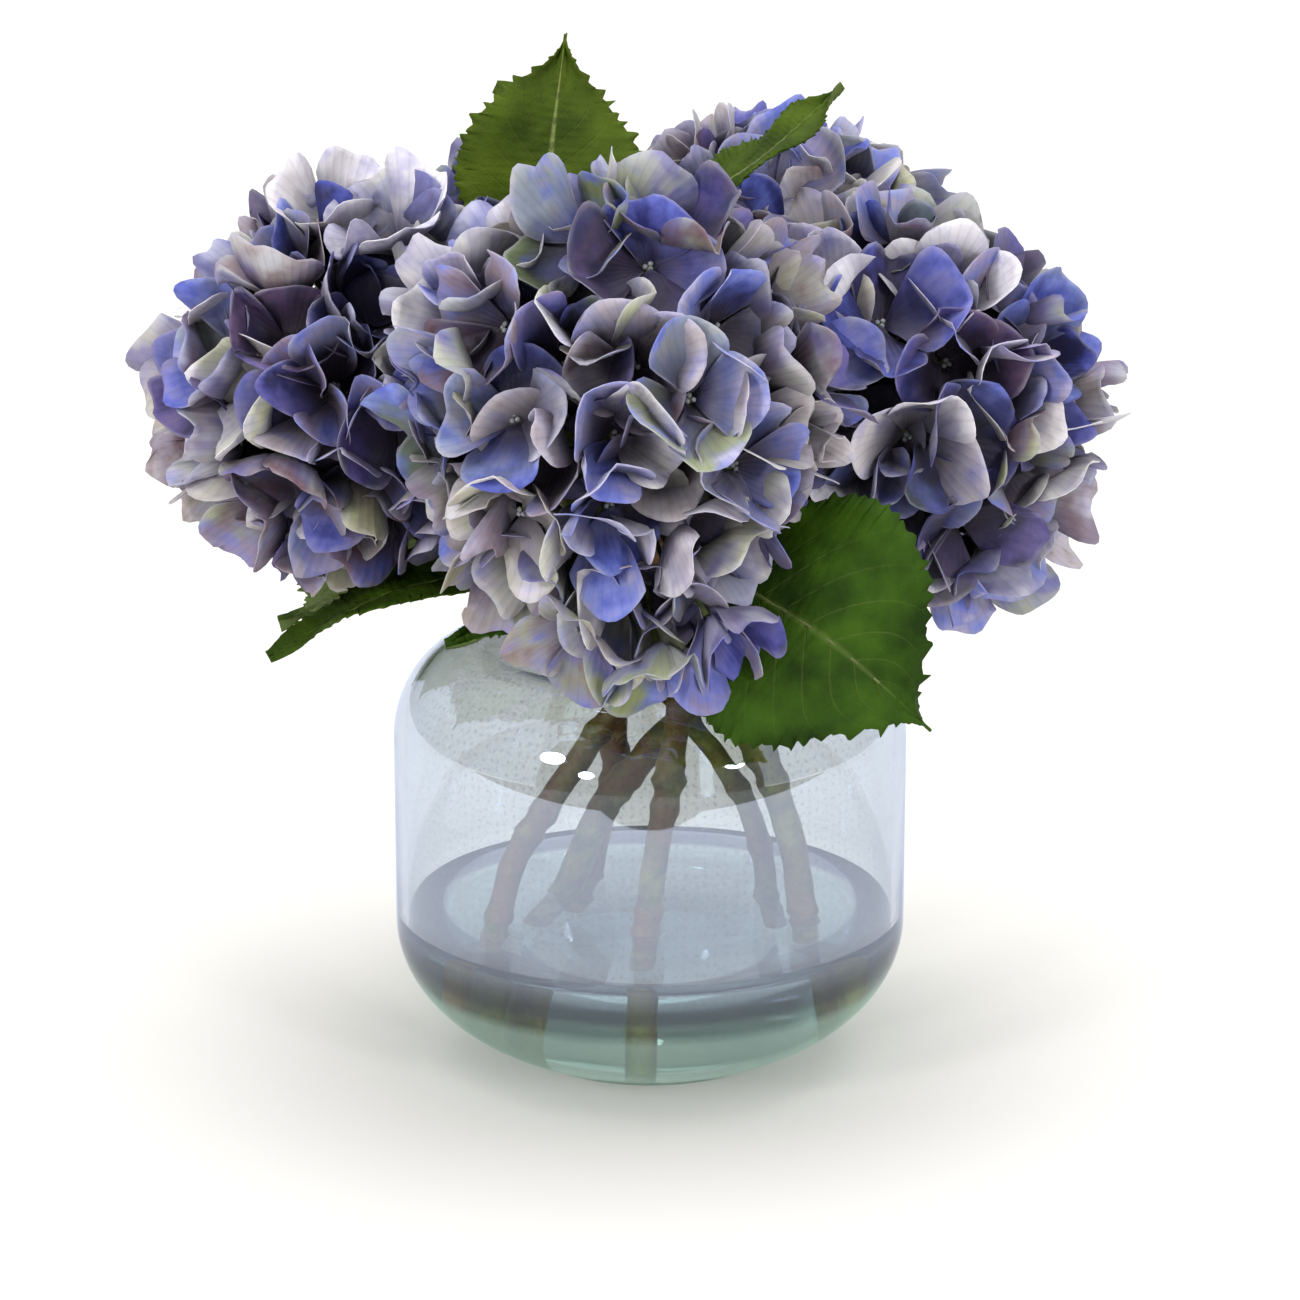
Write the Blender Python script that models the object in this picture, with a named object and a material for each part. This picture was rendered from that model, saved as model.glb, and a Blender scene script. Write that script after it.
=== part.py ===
"""Five hydrangea mopheads and a leafy side shoot in a round glass vase that is one third full of water.

Frame: +Z up, origin at the centre of the vase's flat foot, the front of the arrangement faces -Y.
Each mophead is a branching spray that carries six flower clusters, set on top of its own bent stem.
"""

import math

import bmesh
import bpy
from mathutils import Matrix, Vector

# Clearances: touching pieces keep GAP, and neighbouring flower heads keep HEAD_GAP for leaf stalks to pass.
GAP = 0.0003
HEAD_GAP = 0.004
WELD = 0.00001

# Glass vase: a shallow bowl below, an upright wall, a round shoulder and a short neck with a rolled lip.
VASE_RADIUS = 0.087
GLASS_WALL = 0.0036
GLASS_FLOOR = 0.0095
FOOT_RADIUS = 0.0425
BOWL_REACH = 0.076
BOWL_HEIGHT = 0.0473
SHOULDER_HEIGHT = 0.1115
SHOULDER_REACH = 0.0305
SHOULDER_RISE = 0.0341
NECK_RADIUS = 0.042
NECK_FILLET = 0.007
RIM_HEIGHT = 0.160
LIP = 0.0018
VASE_SIDES = 32
WATER_LEVEL = 0.0503

# Flower heads: centre of the ball, radius over its outermost petals, and how far the ring of clusters is turned.
HEADS = {
    "front": (Vector((-0.010, -0.072, 0.242)), 0.080, 270),
    "left": (Vector((-0.093, 0.000, 0.236)), 0.078, 180),
    "right": (Vector((0.082, 0.003, 0.227)), 0.079, 0),
    "back_right": (Vector((0.037, 0.082, 0.243)), 0.077, 70),
    "back_left": (Vector((-0.052, 0.078, 0.222)), 0.076, 120),
}
NECK_CENTRE = Vector((0, 0, RIM_HEIGHT))
UPRIGHT_SHARE = 0.4
RING_CLUSTERS = 5
RING_ANGLE = 75
CLUSTER_GAP = 0.0005
HOLLOW_SHARE = 0.42
UNDERSIDE_SHARE = 0.5
HUB_SHARE = 0.4
BUMP_COUNT = 70
BUMP_DEPTH = 0.006

# The front head's lowest cluster hangs over the shoulder of the vase: centre and half sizes of the hanging lobe.
LOBE_CENTRE = Vector((-0.004, -0.112, 0.178))
LOBE_HALF_SIZE = Vector((0.026, 0.015, 0.020))

# Stems, from the vase floor up: radius, then the points that the bent wire core is pushed through.
# At the neck they lie one behind the other, so each keeps its own depth in Y there.
STEMS = {
    "front": (0.0043, [(-0.003, -0.029, 0.012), (0.000, -0.029, 0.062), (0.006, -0.029, 0.104),
                       (0.010, -0.029, 0.135), (0.008, -0.030, 0.160), (0.002, -0.042, 0.185)]),
    "right": (0.0043, [(-0.056, -0.018, 0.020), (-0.047, -0.017, 0.068), (-0.030, -0.017, 0.098),
                       (-0.008, -0.017, 0.132), (0.010, -0.016, 0.160), (0.036, -0.009, 0.184)]),
    "left": (0.0048, [(0.055, -0.006, 0.019), (0.051, -0.005, 0.061), (0.0435, -0.005, 0.091),
                      (0.0287, -0.005, 0.1195), (-0.006, -0.005, 0.160), (-0.038, -0.003, 0.188)]),
    "back_right": (0.0052, [(-0.040, 0.016, 0.015), (-0.020, 0.018, 0.072), (0.000, 0.019, 0.100),
                            (0.015, 0.019, 0.122), (0.024, 0.018, 0.160), (0.030, 0.040, 0.186)]),
    "back_left": (0.0042, [(-0.027, 0.031, 0.013), (-0.019, 0.0305, 0.062), (-0.013, 0.030, 0.085),
                           (-0.012, 0.029, 0.118), (-0.013, 0.027, 0.160), (-0.024, 0.042, 0.178)]),
    "foliage": (0.0042, [(0.044, 0.011, 0.016), (0.0375, 0.008, 0.070), (0.024, 0.007, 0.100),
                         (0.0136, 0.007, 0.116), (-0.005, 0.007, 0.158), (-0.004, 0.012, 0.210),
                         (-0.004, 0.013, 0.256)]),
}
STEM_STEPS = 13
KNUCKLES = (0.30, 0.62)
KNUCKLE_SWELL = 1.12
SHOOT_TIP_SHARE = 0.55
# Both the glass and the stems are faceted, so a stem's foot stands this much higher than the true bowl.
FACET_SAG = 0.0003

# Leaves: blade width, the way its upper face looks, the stem and the height its stalk grows from,
# the blade's base, a point midway along the midrib, and the tip.
LEAVES = {
    "leaf_front_right": (0.086, (0.08, -0.93, 0.33), "right", 0.174, (0.044, -0.090, 0.177),
                         (0.059, -0.106, 0.171), (0.084, -0.112, 0.144)),
    "leaf_lower_left": (0.062, (-0.30, -0.10, 0.95), "left", 0.180, (-0.050, -0.020, 0.173),
                        (-0.088, -0.029, 0.165), (-0.124, -0.036, 0.151)),
    "leaf_front_left": (0.032, (-0.10, -0.45, 0.90), "front", 0.170, (-0.016, -0.044, 0.169),
                        (-0.040, -0.057, 0.169), (-0.064, -0.067, 0.162)),
    "leaf_top_left": (0.056, (0.00, -0.90, 0.40), "foliage", 0.250, (-0.031, 0.011, 0.297),
                      (-0.031, 0.020, 0.320), (-0.027, 0.030, 0.347)),
    "leaf_top_right": (0.046, (-0.60, -0.25, 0.75), "foliage", 0.246, (0.022, 0.013, 0.296),
                       (0.040, 0.018, 0.311), (0.063, 0.030, 0.328)),
    "leaf_top_back": (0.048, (-0.20, 0.50, 0.85), "foliage", 0.251, (-0.014, 0.033, 0.292),
                      (-0.031, 0.050, 0.313), (-0.053, 0.073, 0.321)),
    "leaf_back_middle": (0.066, (0.00, 0.90, 0.45), "back_left", 0.166, (-0.008, 0.062, 0.171),
                         (-0.006, 0.098, 0.162), (0.004, 0.122, 0.132)),
    "leaf_back_left": (0.060, (-0.55, 0.45, 0.75), "back_left", 0.171, (-0.062, 0.045, 0.161),
                       (-0.096, 0.062, 0.153), (-0.124, 0.080, 0.130)),
    "leaf_back_right": (0.062, (0.60, 0.40, 0.70), "back_right", 0.178, (0.060, 0.056, 0.168),
                        (0.092, 0.078, 0.156), (0.118, 0.100, 0.135)),
    "leaf_left_side": (0.046, (-0.30, 0.60, 0.75), "left", 0.182, (-0.056, 0.020, 0.169),
                       (-0.094, 0.026, 0.158), (-0.128, 0.032, 0.142)),
}
LEAF_THICKNESS = 0.0010
STALK_RADIUS = 0.0012
STALK_STEPS = 4
BLADE_STEPS = 10
LEAF_FOLD = 0.22

COLOURS = {
    "smoke_blue_glass": ((0.55, 0.66, 0.74), 0.05),
    "water": ((0.62, 0.76, 0.74), 0.05),
    "stem_bark": ((0.16, 0.17, 0.03), 0.55),
    "leaf_green": ((0.07, 0.15, 0.02), 0.45),
    "petal_blue": ((0.23, 0.26, 0.52), 0.75),
}


def clear_scene():
    for obj in list(bpy.data.objects):
        bpy.data.objects.remove(obj)


def material(name):
    """One matte or glossy material, made once and shared."""
    found = bpy.data.materials.get(name)
    if found:
        return found
    colour, roughness = COLOURS[name]
    made = bpy.data.materials.new(name)
    made.use_nodes = True
    shader = made.node_tree.nodes["Principled BSDF"]
    shader.inputs["Base Color"].default_value = (*colour, 1)
    shader.inputs["Roughness"].default_value = roughness
    return made


def add_object(name, mesh, material_name):
    mesh.materials.clear()
    mesh.materials.append(material(material_name))
    obj = bpy.data.objects.new(name, mesh)
    bpy.context.collection.objects.link(obj)
    return obj


def mesh_from(bm, name):
    """The bmesh as a smooth-shaded mesh with its faces pointing out."""
    bmesh.ops.recalc_face_normals(bm, faces=bm.faces)
    mesh = bpy.data.meshes.new(name)
    bm.to_mesh(mesh)
    bm.free()
    mesh.shade_smooth()
    mesh.set_sharp_from_angle(angle=math.radians(35))
    return mesh


def combined(name, base, others, operation):
    """The base mesh joined with, or cut by, each of the other meshes in turn."""
    body = bpy.data.objects.new(name, base)
    bpy.context.collection.objects.link(body)
    helpers = []
    for mesh in others:
        helper = bpy.data.objects.new(name + "_helper", mesh)
        bpy.context.collection.objects.link(helper)
        helpers.append(helper)
        boolean = body.modifiers.new("boolean", "BOOLEAN")
        boolean.operation = operation
        boolean.object = helper
    bpy.context.view_layer.update()
    graph = bpy.context.evaluated_depsgraph_get()
    result = bpy.data.meshes.new_from_object(body.evaluated_get(graph))
    for obj in [body, *helpers]:
        bpy.data.objects.remove(obj)
    return result


def arc(centre, reach, rise, start, end, steps):
    """Points of a quarter-like elliptical arc in the (radius, height) plane, angles in degrees from outward."""
    angles = (math.radians(start + (end - start) * i / steps) for i in range(steps + 1))
    return [(centre[0] + reach * math.cos(a), centre[1] + rise * math.sin(a)) for a in angles]


def turned(name, profile):
    """A solid of revolution about Z from (radius, height) points that start and end on the axis."""
    bm = bmesh.new()
    verts = [bm.verts.new((radius, 0, height)) for radius, height in profile]
    edges = [bm.edges.new(pair) for pair in zip(verts, verts[1:])]
    bmesh.ops.spin(bm, geom=verts + edges, cent=(0, 0, 0), axis=(0, 0, 1), angle=2 * math.pi,
                   steps=VASE_SIDES, use_merge=True)
    bmesh.ops.remove_doubles(bm, verts=bm.verts, dist=WELD)
    return mesh_from(bm, name)


BOWL_CENTRE = (VASE_RADIUS - BOWL_REACH, BOWL_HEIGHT)
INNER_REACH = BOWL_REACH - GLASS_WALL
INNER_DROP = BOWL_HEIGHT - GLASS_FLOOR


def floor_height(radius):
    """Height of the vase's inner floor at a distance from the axis."""
    if radius <= BOWL_CENTRE[0]:
        return GLASS_FLOOR
    share = (radius - BOWL_CENTRE[0]) / INNER_REACH
    return BOWL_HEIGHT - INNER_DROP * math.sqrt(max(0.0, 1 - share * share))


def vase_mesh():
    shoulder = (VASE_RADIUS - SHOULDER_REACH, SHOULDER_HEIGHT)
    shoulder_top = SHOULDER_HEIGHT + SHOULDER_RISE
    fillet = (NECK_RADIUS + NECK_FILLET, shoulder_top + NECK_FILLET)
    lip = (NECK_RADIUS - GLASS_WALL / 2, RIM_HEIGHT - LIP)
    outside = [(0, 0), (FOOT_RADIUS, 0), (FOOT_RADIUS + 0.0020, 0.0024)]
    outside += arc(BOWL_CENTRE, BOWL_REACH, -BOWL_HEIGHT, 60, 0, 6)
    outside += arc(shoulder, SHOULDER_REACH, SHOULDER_RISE, 0, 90, 6)
    outside += arc(fillet, -NECK_FILLET, -NECK_FILLET, 90, 0, 3)
    rim = arc(lip, GLASS_WALL / 2 + 0.0012, LIP, 0, 180, 4)
    inside = arc(fillet, -NECK_FILLET - GLASS_WALL, -NECK_FILLET - GLASS_WALL, 0, 90, 3)
    inside += arc(shoulder, SHOULDER_REACH - GLASS_WALL, SHOULDER_RISE - GLASS_WALL, 90, 0, 6)
    inside += arc(BOWL_CENTRE, INNER_REACH, -INNER_DROP, 0, 90, 9)
    return turned("vase", outside + rim + inside + [(0, GLASS_FLOOR)])


def smooth_path(points, steps):
    """Points evenly spaced along a Catmull-Rom curve through the given points."""
    ends = [2 * points[0] - points[1], *points, 2 * points[-1] - points[-2]]
    fine = []
    for p0, p1, p2, p3 in zip(ends, ends[1:], ends[2:], ends[3:]):
        for i in range(16):
            t = i / 16
            fine.append(0.5 * (2 * p1 + (p2 - p0) * t + (2 * p0 - 5 * p1 + 4 * p2 - p3) * t ** 2
                               + (3 * p1 - p0 - 3 * p2 + p3) * t ** 3))
    fine.append(points[-1])
    travelled = [0.0]
    for a, b in zip(fine, fine[1:]):
        travelled.append(travelled[-1] + (b - a).length)
    path = []
    piece = 0
    for i in range(steps + 1):
        target = travelled[-1] * i / steps
        while piece < len(fine) - 2 and travelled[piece + 1] < target:
            piece += 1
        share = (target - travelled[piece]) / (travelled[piece + 1] - travelled[piece])
        path.append(fine[piece].lerp(fine[piece + 1], min(1.0, share)))
    return path


def rod_mesh(name, points, radii):
    """A round rod with filled ends along the points, as thick at each as its radius says."""
    curve = bpy.data.curves.new(name, "CURVE")
    curve.dimensions = "3D"
    curve.bevel_depth = 1
    curve.bevel_resolution = 2
    curve.use_fill_caps = True
    spline = curve.splines.new("POLY")
    spline.points.add(len(points) - 1)
    for point, place, radius in zip(spline.points, points, radii):
        point.co = (*place, 1)
        point.radius = radius
    helper = bpy.data.objects.new(name, curve)
    bpy.context.collection.objects.link(helper)
    bpy.context.view_layer.update()
    mesh = bpy.data.meshes.new_from_object(helper.evaluated_get(bpy.context.evaluated_depsgraph_get()))
    bpy.data.objects.remove(helper)
    bm = bmesh.new()
    bm.from_mesh(mesh)
    bmesh.ops.remove_doubles(bm, verts=bm.verts, dist=WELD)
    return mesh_from(bm, name)


def seated_on_floor(path, radius):
    """The path with its lower end raised until the cut end clears the vase floor by GAP."""
    foot = path[0].copy()
    rim = [(foot.x + radius * math.cos(a), foot.y + radius * math.sin(a))
           for a in (math.tau * i / 8 for i in range(8))]
    slope = math.hypot(path[1].x - foot.x, path[1].y - foot.y) / (path[1] - foot).length
    foot.z = max(floor_height(math.hypot(x, y)) for x, y in rim) + radius * slope + GAP + FACET_SAG
    return [foot, *path[1:]]


def head_axis(centre):
    """The way the flower head looks: away from the vase's neck, turned part of the way upright."""
    outward = (centre - NECK_CENTRE).normalized()
    return outward.lerp(Vector((0, 0, 1)), UPRIGHT_SHARE).normalized()


def hub_place(head):
    centre, radius, _ = HEADS[head]
    return centre - head_axis(centre) * radius * HUB_SHARE


def cluster_directions(head):
    """The crown cluster's direction, then the ring clusters' directions."""
    centre, _, turn = HEADS[head]
    axis = head_axis(centre)
    reference = Vector((math.cos(math.radians(turn)), math.sin(math.radians(turn)), 0))
    side = (reference - axis * reference.dot(axis)).normalized()
    tilt = math.radians(RING_ANGLE)
    first = axis * math.cos(tilt) + side * math.sin(tilt)
    ring = [Matrix.Rotation(math.tau * i / RING_CLUSTERS, 3, axis) @ first for i in range(RING_CLUSTERS)]
    return [axis, *ring]


def bumpy_ball(radius, turn):
    """A ball with one low bump for each floret, its crests at the given radius."""
    bm = bmesh.new()
    bmesh.ops.create_icosphere(bm, subdivisions=4, radius=1)
    golden = math.pi * (3 - math.sqrt(5))
    crests = []
    for i in range(BUMP_COUNT):
        height = 1 - 2 * (i + 0.5) / BUMP_COUNT
        ring = math.sqrt(1 - height * height)
        angle = golden * i + math.radians(turn)
        crests.append(Vector((ring * math.cos(angle), ring * math.sin(angle), height)))
    spread = math.sqrt(4 / BUMP_COUNT)
    for vert in bm.verts:
        direction = vert.co.normalized()
        away = min(direction.angle(crest) for crest in crests)
        vert.co = direction * (radius - BUMP_DEPTH * min(1.0, away / spread) ** 2)
    return bm


def cut_away(bm, point, normal):
    """Removes what lies beyond the plane, on the side its normal points to, and closes the cut."""
    everything = bm.verts[:] + bm.edges[:] + bm.faces[:]
    cut = bmesh.ops.bisect_plane(bm, geom=everything, dist=WELD / 10, plane_co=point, plane_no=normal,
                                 clear_outer=True)
    edges = [item for item in cut["geom_cut"] if isinstance(item, bmesh.types.BMEdge)]
    if edges:
        bmesh.ops.holes_fill(bm, edges=edges, sides=0)


def cluster_mesh(head, index):
    """The share of a head's ball that is nearest to one cluster's direction, hollow towards the hub."""
    centre, radius, turn = HEADS[head]
    directions = cluster_directions(head)
    own = directions[index]
    bm = bumpy_ball(radius, turn)
    bmesh.ops.translate(bm, verts=bm.verts, vec=centre)
    for other in directions:
        if other is not own:
            normal = (other - own).normalized()
            cut_away(bm, centre - normal * CLUSTER_GAP / 2, normal)
    cut_away(bm, centre + own * radius * HOLLOW_SHARE, -own)
    axis = head_axis(centre)
    cut_away(bm, centre - axis * radius * UNDERSIDE_SHARE, -axis)
    for other_head, (other_centre, other_radius, _) in HEADS.items():
        if other_head != head:
            between = other_centre - centre
            # Heads of unequal size meet where their balls' surfaces cross, not midway.
            share = 0.5 + (radius ** 2 - other_radius ** 2) / (2 * between.length_squared)
            normal = between.normalized()
            cut_away(bm, centre + between * share - normal * HEAD_GAP / 2, normal)
    mesh = mesh_from(bm, f"{head}_cluster")
    if head == "front" and index == 1:
        mesh = combined("hanging", mesh, [hanging_lobe()], "UNION")
    return mesh


def hanging_lobe():
    bm = bmesh.new()
    bmesh.ops.create_icosphere(bm, subdivisions=3, radius=1)
    bmesh.ops.scale(bm, verts=bm.verts, vec=LOBE_HALF_SIZE)
    bmesh.ops.translate(bm, verts=bm.verts, vec=LOBE_CENTRE)
    return mesh_from(bm, "hanging_lobe")


def spray_mesh(head):
    """The hub on the stem and its rays, each ending just under one cluster."""
    centre, radius, _ = HEADS[head]
    hub = hub_place(head)
    axis = head_axis(centre)
    core = rod_mesh("hub", [hub, hub + axis * 0.012], [0.0056, 0.0040])
    rays = []
    for direction in cluster_directions(head):
        thin = 0.0016
        end = centre + direction * radius * HOLLOW_SHARE
        slant = math.sin((end - hub).angle(direction))
        end -= direction * (GAP + thin * slant)
        start = hub + axis * 0.005
        rays.append(rod_mesh("ray", [start, end], [0.0026, thin]))
    return combined("spray", core, rays, "UNION")


def stem_path(name):
    radius, points = STEMS[name]
    places = [Vector(p) for p in points]
    if name in HEADS:
        axis = head_axis(HEADS[name][0])
        places.append(hub_place(name) - axis * GAP)
    return seated_on_floor(smooth_path(places, STEM_STEPS), radius)


def stem_radii(name, grow=0.0):
    """Radii along a stem: a little thicker at its knuckles, and thinner up the leafy shoot."""
    knuckles = [round(share * STEM_STEPS) for share in KNUCKLES]
    tip_share = 1.0 if name in HEADS else SHOOT_TIP_SHARE
    radii = []
    for i in range(STEM_STEPS + 1):
        radius = STEMS[name][0] * (1 - (1 - tip_share) * i / STEM_STEPS)
        radii.append(radius * (KNUCKLE_SWELL if i in knuckles else 1.0) + grow)
    return radii


def stem_mesh(name):
    """A bent stem whose top is cut square to the spray that it carries."""
    mesh = rod_mesh(name, stem_path(name), stem_radii(name))
    if name not in HEADS:
        return mesh
    axis = head_axis(HEADS[name][0])
    bm = bmesh.new()
    bm.from_mesh(mesh)
    cut_away(bm, hub_place(name) - axis * GAP, axis)
    return mesh_from(bm, name)


def water_mesh():
    """The water: it fills the bowl up to its level and leaves a clear way around each stem."""
    profile = [(0, GLASS_FLOOR + GAP)]
    profile += arc(BOWL_CENTRE, INNER_REACH - GAP, GAP - INNER_DROP, 90, 0, 9)
    profile += [(VASE_RADIUS - GLASS_WALL - GAP, WATER_LEVEL), (0, WATER_LEVEL)]
    body = turned("water", profile)
    ways = []
    for name in STEMS:
        path = stem_path(name)
        path[0] = path[0] + (path[0] - path[1]).normalized() * STEMS[name][0] * 3
        ways.append(rod_mesh("way", path, stem_radii(name, grow=GAP * 1.2)))
    return combined("water", body, ways, "DIFFERENCE")


def blade_half_width(share, width):
    """Half the leaf's width at a share of its length: round at the base, drawn out to a point."""
    return width / 2 * max(0.0, math.sin(math.pi * share ** 0.72)) ** 0.85


def stalk_root(stem, height, towards):
    """Where a stalk that heads for a point starts, GAP clear of its stem at the given height."""
    path, radii = stem_path(stem), stem_radii(stem)
    i = next(i for i in range(STEM_STEPS) if path[i + 1].z > height)
    share = (height - path[i].z) / (path[i + 1].z - path[i].z)
    centre = path[i].lerp(path[i + 1], share)
    radius = radii[i] + (radii[i + 1] - radii[i]) * share
    along = (path[i + 1] - path[i]).normalized()
    heading = (towards - centre).normalized()
    out = (heading - along * heading.dot(along)).normalized()
    slant = math.sin(heading.angle(out))
    return centre + out * (radius + GAP + STALK_RADIUS * slant)


def leaf_mesh(width, face, stem, height, base, middle, tip):
    """A folded leaf and its stalk as one solid, six-cornered all along the midrib."""
    face = Vector(face).normalized()
    base, middle, tip = Vector(base), Vector(middle), Vector(tip)
    root = stalk_root(stem, height, base)
    stalk = smooth_path([root, base, middle], STALK_STEPS * 2)[:STALK_STEPS]
    blade = smooth_path([base, middle, tip], BLADE_STEPS)
    path = stalk + blade
    bm = bmesh.new()
    section = None
    for i, place in enumerate(path):
        along = (path[min(i + 1, len(path) - 1)] - path[max(i - 1, 0)]).normalized()
        up = (face - along * face.dot(along)).normalized()
        side = along.cross(up)
        share = (i - len(stalk)) / BLADE_STEPS
        half = STALK_RADIUS if share <= 0 else max(0.0005, blade_half_width(share, width))
        thick = STALK_RADIUS if share <= 0 else LEAF_THICKNESS / 2
        rise = 0 if share <= 0 else half * LEAF_FOLD
        corners = [place + side * half + up * (rise + thick), place + up * thick,
                   place - side * half + up * (rise + thick), place - side * half + up * (rise - thick),
                   place - up * thick, place + side * half + up * (rise - thick)]
        ring = [bm.verts.new(corner) for corner in corners]
        edges = [bm.edges.new((ring[k], ring[(k + 1) % 6])) for k in range(6)]
        if section:
            for k in range(6):
                bm.faces.new((section[k], section[(k + 1) % 6], ring[(k + 1) % 6], ring[k]))
        section = ring
        if i in (0, len(path) - 1):
            bmesh.ops.contextual_create(bm, geom=edges)
    bmesh.ops.triangulate(bm, faces=bm.faces)
    return mesh_from(bm, "leaf")


def build():
    clear_scene()
    add_object("vase", vase_mesh(), "smoke_blue_glass")
    add_object("water", water_mesh(), "water")
    for name in STEMS:
        add_object(f"stem_{name}", stem_mesh(name), "stem_bark")
    for head in HEADS:
        add_object(f"spray_{head}", spray_mesh(head), "stem_bark")
        add_object(f"cluster_{head}_crown", cluster_mesh(head, 0), "petal_blue")
        for index in range(1, RING_CLUSTERS + 1):
            add_object(f"cluster_{head}_{index}", cluster_mesh(head, index), "petal_blue")
    for name, shape in LEAVES.items():
        add_object(name, leaf_mesh(*shape), "leaf_green")


build()
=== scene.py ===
"""The looks of a low glass vase of cloth hydrangeas: petals, leaves, stems, glass and water."""

import math
import random

import bmesh
import bpy
from mathutils import Matrix, Vector, noise


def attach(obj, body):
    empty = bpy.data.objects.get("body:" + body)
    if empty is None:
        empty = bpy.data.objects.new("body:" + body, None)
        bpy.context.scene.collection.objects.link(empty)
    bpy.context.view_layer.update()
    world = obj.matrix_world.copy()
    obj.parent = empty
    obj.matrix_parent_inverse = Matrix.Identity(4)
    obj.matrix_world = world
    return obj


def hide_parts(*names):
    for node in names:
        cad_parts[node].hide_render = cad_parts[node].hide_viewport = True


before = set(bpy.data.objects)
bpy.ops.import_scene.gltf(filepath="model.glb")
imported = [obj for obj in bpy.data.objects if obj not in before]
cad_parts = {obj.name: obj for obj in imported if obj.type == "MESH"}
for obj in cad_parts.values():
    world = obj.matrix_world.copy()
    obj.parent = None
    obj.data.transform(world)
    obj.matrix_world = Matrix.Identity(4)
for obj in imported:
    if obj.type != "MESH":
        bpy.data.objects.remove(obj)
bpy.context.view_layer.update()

# ---------------------------------------------------------------- sizes, in metres, and colours

UP = Vector((0, 0, 1))

# Vase: bowl below, upright wall, round shoulder, short neck with a rolled lip.
VASE_RADIUS = 0.087
GLASS_WALL = 0.0036
GLASS_FLOOR = 0.0095
FOOT_RADIUS = 0.0425
FOOT_EDGE = 0.0005
BOWL_REACH = 0.076
BOWL_HEIGHT = 0.0473
BOWL_DROP = 0.0505
BOWL_SWEEP = 63
SHOULDER_HEIGHT = 0.1115
SHOULDER_REACH = 0.0305
SHOULDER_RISE = 0.0341
NECK_RADIUS = 0.042
NECK_FILLET = 0.007
RIM_HEIGHT = 0.160
LIP = 0.0018
WATER_LEVEL = 0.0503
VASE_SIDES = 144
# Seen from this height on the axis, the outer faces of the glass look away and the inner ones look back.
GLASS_MIDDLE = 0.07

# Flower heads: centre, radius over the outer petals, and the turn of the ring of clusters. The two side
# heads sit up to 4 mm closer in and lower than in the CAD part.
HEADS = {
    "front": (Vector((-0.010, -0.072, 0.242)), 0.080, 270),
    "left": (Vector((-0.089, 0.000, 0.233)), 0.078, 180),
    "right": (Vector((0.079, 0.003, 0.225)), 0.079, 0),
    "back_right": (Vector((0.037, 0.082, 0.243)), 0.077, 70),
    "back_left": (Vector((-0.052, 0.078, 0.222)), 0.076, 120),
}
RING_CLUSTERS = 5
RING_ANGLE = 75
FLORETS_PER_HEAD = 86
FLORET_DEPTH = 0.0245
PETALS_PER_FLORET = 4
PETAL_LENGTH = 0.0250
PETAL_WIDTH = 0.0285
PETAL_CLOTH = 0.00028
PETAL_VEINS = 46.0

# Side veins of a leaf, the spacing of the seed bubbles in the glass, and where its blue lustre is full.
VEIN_PAIRS = 9.0
VEIN_SLOPE = 0.30
SEED_SPACING = 0.0034
LUSTRE_TOP = 0.058

# Florets that hang from the front head over the shoulder of the vase: place and outward direction.
HANGING_FLORETS = [
    ((-0.022, -0.112, 0.180), (-0.30, -0.72, -0.55)),
    ((0.002, -0.114, 0.174), (0.05, -0.75, -0.60)),
    ((0.018, -0.113, 0.184), (0.45, -0.70, -0.50)),
    ((-0.010, -0.106, 0.188), (-0.10, -0.85, -0.45)),
    ((0.010, -0.104, 0.184), (0.20, -0.80, -0.55)),
]


def linear(code):
    """A colour given as sRGB hex, as the linear values that shaders take."""
    channels = [int(code[i:i + 2], 16) / 255 for i in (0, 2, 4)]
    return tuple(c / 12.92 if c <= 0.04045 else ((c + 0.055) / 1.055) ** 2.4 for c in channels)


# ---------------------------------------------------------------- materials


def add(tree, kind, *values, out=0, stops=(), **settings):
    """Adds a shader node and gives back one of its outputs.

    Its sockets take numbers, hex colours or other nodes' outputs, in order or by name or number in a dict.
    """
    made = tree.nodes.new("ShaderNode" + kind)
    for key, value in settings.items():
        setattr(made, key, value)
    places = values[0] if values and isinstance(values[0], dict) else dict(enumerate(values))
    for place, value in places.items():
        socket = made.inputs[place]
        if isinstance(value, bpy.types.NodeSocket):
            tree.links.new(value, socket)
        else:
            socket.default_value = (*linear(value), 1) if isinstance(value, str) else value
    for _ in stops[2:]:
        made.color_ramp.elements.new(0.5)
    for index, (position, code) in enumerate(stops):
        made.color_ramp.elements[index].position = position
        made.color_ramp.elements[index].color = (*linear(code), 1)
    return made.outputs[out] if made.outputs else None


def new_tree(name):
    made = bpy.data.materials.new(name)
    made.use_nodes = True
    made.node_tree.nodes.clear()
    return made, made.node_tree


# Dyes of the petals, from the deepest blue to the palest lilac.
PETAL_DYES = [(0.0, "2b2c62"), (0.14, "3f479c"), (0.30, "5c6bca"), (0.46, "808ddc"), (0.60, "9c9dd4"),
              (0.74, "bcb8dc"), (0.88, "dcd8ea"), (1.0, "f6f2f6")]


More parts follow.
